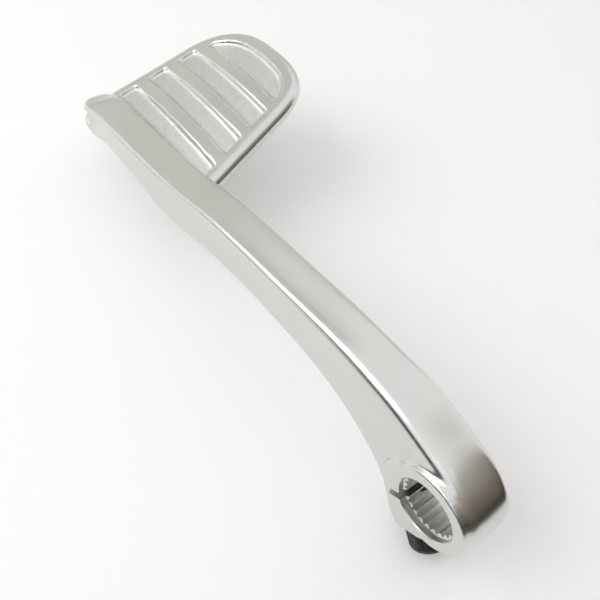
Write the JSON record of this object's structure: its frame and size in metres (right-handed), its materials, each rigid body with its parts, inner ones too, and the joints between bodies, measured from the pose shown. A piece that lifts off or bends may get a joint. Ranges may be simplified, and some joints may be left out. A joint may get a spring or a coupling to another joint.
{
  "type": "kick start lever",
  "caption": "Polished cast kick start lever with a ribbed foot pedal and a split splined hub that a socket screw clamps onto the kick shaft.",
  "frame": {"origin": "middle of the splined bore", "axes": "+X from the bore along the arm to the tip, +Y along the bore towards the engine, +Z towards the front of the arm and the tread of the pedal"},
  "size_m": [0.2183, 0.084, 0.0522],
  "materials": {
    "polished_casting": "polished cast aluminium",
    "black_steel": "black oxide steel, knurled head"
  },
  "bodies": {
    "root": {"lever": "polished_casting", "clamp_screw": "black_steel"}
  },
  "joints": []
}
